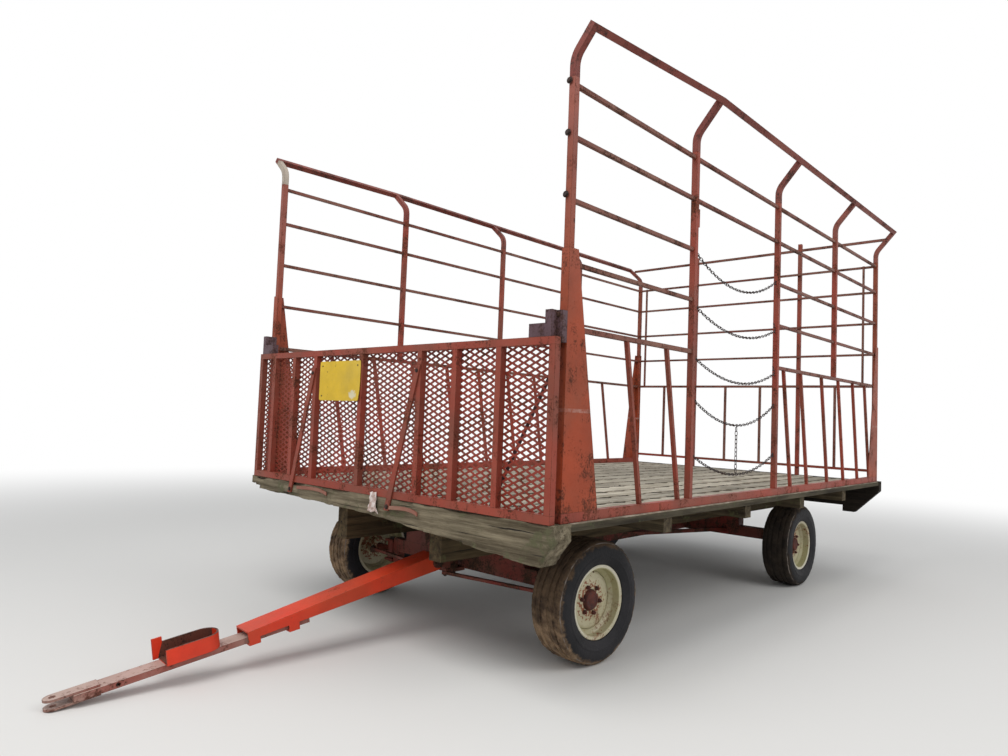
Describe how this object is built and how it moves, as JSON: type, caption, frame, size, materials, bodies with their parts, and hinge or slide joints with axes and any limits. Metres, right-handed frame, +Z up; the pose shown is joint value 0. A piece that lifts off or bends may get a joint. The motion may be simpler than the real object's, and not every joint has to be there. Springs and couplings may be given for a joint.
{
  "type": "hay wagon",
  "caption": "Steel bale rack with a mesh front gate on a plank deck, on a steered four-wheel running gear with a drop tongue.",
  "frame": {"origin": "bottom centre of the bounding box, on the ground", "axes": "+X forward along the wagon towards the tongue, +Y to its left, +Z up"},
  "size_m": [6.6832, 3.0668, 3.3374],
  "materials": {
    "deck_wood": "weathered grey",
    "frame_wood": "weathered brown",
    "header_wood": "weathered, mossy",
    "rack_paint": "faded, rusty",
    "corner_paint": "faded, rusty",
    "top_rail_paint": "rusty",
    "dark_steel": "rusty",
    "sign_paint": "faded",
    "tongue_paint": "worn",
    "pole_paint": "worn, rusty",
    "gear_paint": "dirty",
    "rim_paint": "faded, rusty",
    "tyre_rubber": "worn, muddy"
  },
  "bodies": {
    "chassis": {"deck_planks": "deck_wood", "cross_joists": "frame_wood", "sills": "frame_wood", "front_header": "header_wood", "rear_header": "header_wood", "rack_bottom_rails": "rack_paint", "corner_post_front_left": "corner_paint", "corner_post_front_right": "corner_paint", "corner_post_rear_left": "corner_paint", "corner_post_rear_right": "corner_paint", "side_posts": "rack_paint", "side_rails": "rack_paint", "side_bars": "rack_paint", "top_rails": "top_rail_paint", "post_tops": "top_rail_paint", "rear_rails": "rack_paint", "rear_posts": "rack_paint", "rear_bars": "rack_paint", "gate_rails": "rack_paint", "gate_bars": "rack_paint", "gate_mesh": "rack_paint", "gate_braces": "rack_paint", "gate_rod": "dark_steel", "gate_latches": "dark_steel", "sign_plate": "sign_paint", "door_chains": "dark_steel", "bolsters": "gear_paint", "bolster_stakes": "gear_paint", "front_axle": "gear_paint", "rear_axle": "gear_paint", "reach_pole": "gear_paint", "hounds": "gear_paint"},
    "yoke": {"steering_yoke": "gear_paint"},
    "tongue": {"tongue": "tongue_paint"},
    "pole": {"front_pole": "pole_paint", "pole_strap": "tongue_paint"},
    "knuckle_left": {"knuckle_left": "gear_paint"},
    "knuckle_right": {"knuckle_right": "gear_paint"},
    "tie_rod_left": {"tie_rod_left": "gear_paint"},
    "tie_rod_right": {"tie_rod_right": "gear_paint"},
    "wheel_front_left": {"rim_front_left": "rim_paint", "tyre_front_left": "tyre_rubber"},
    "wheel_front_right": {"rim_front_right": "rim_paint", "tyre_front_right": "tyre_rubber"},
    "wheel_rear_left": {"rim_rear_left": "rim_paint", "tyre_rear_left": "tyre_rubber"},
    "wheel_rear_right": {"rim_rear_right": "rim_paint", "tyre_rear_right": "tyre_rubber"}
  },
  "joints": [
    {"name": "tongue_steer", "type": "hinge", "parent": "chassis", "child": "yoke", "pos_m": [1.06138, 0.00004, 0.4], "axis": [0, 0, 1], "range_deg": [-24, 32]},
    {"name": "tongue_lift", "type": "hinge", "parent": "yoke", "child": "tongue", "pos_m": [1.25091, -0.01338, 0.428], "axis": [-0.0706, -0.9975, 0], "range_deg": [0, 16]},
    {"name": "pole_slide", "type": "slide", "parent": "tongue", "child": "pole", "axis": [0.9868, -0.0699, -0.1461], "range_m": [-0.1, 0.05]},
    {"name": "knuckle_left_steer", "type": "hinge", "parent": "chassis", "child": "knuckle_left", "pos_m": [0.95138, 0.78004, 0.346], "axis": [0, 0, 1], "range_deg": [-24, 32]},
    {"name": "knuckle_right_steer", "type": "hinge", "parent": "chassis", "child": "knuckle_right", "pos_m": [0.95138, -0.77996, 0.346], "axis": [0, 0, 1], "range_deg": [-24, 32]},
    {"name": "tie_rod_left_pivot", "type": "hinge", "parent": "yoke", "child": "tie_rod_left", "pos_m": [1.18603, 0.06139, 0.355], "axis": [0, 0, 1], "range_deg": [-32, 24]},
    {"name": "tie_rod_right_pivot", "type": "hinge", "parent": "yoke", "child": "tie_rod_right", "pos_m": [1.17614, -0.07826, 0.355], "axis": [0, 0, 1], "range_deg": [-32, 24]},
    {"name": "wheel_front_left_spin", "type": "hinge", "parent": "knuckle_left", "child": "wheel_front_left", "pos_m": [0.96749, 1.00747, 0.346], "axis": [0.0706, 0.9975, 0], "continuous": true},
    {"name": "wheel_front_right_spin", "type": "hinge", "parent": "knuckle_right", "child": "wheel_front_right", "pos_m": [0.93528, -1.00739, 0.346], "axis": [0.0706, 0.9975, 0], "continuous": true},
    {"name": "wheel_rear_left_spin", "type": "hinge", "parent": "chassis", "child": "wheel_rear_left", "pos_m": [-2.04662, 1.00804, 0.346], "axis": [0, 1, 0], "continuous": true},
    {"name": "wheel_rear_right_spin", "type": "hinge", "parent": "chassis", "child": "wheel_rear_right", "pos_m": [-2.04662, -1.00796, 0.346], "axis": [0, 1, 0], "continuous": true}
  ],
  "couplings": [
    {"joint": "knuckle_left_steer", "follows": "tongue_steer", "ratio": 1},
    {"joint": "knuckle_right_steer", "follows": "tongue_steer", "ratio": 1},
    {"joint": "tie_rod_left_pivot", "follows": "tongue_steer", "ratio": -1},
    {"joint": "tie_rod_right_pivot", "follows": "tongue_steer", "ratio": -1}
  ]
}
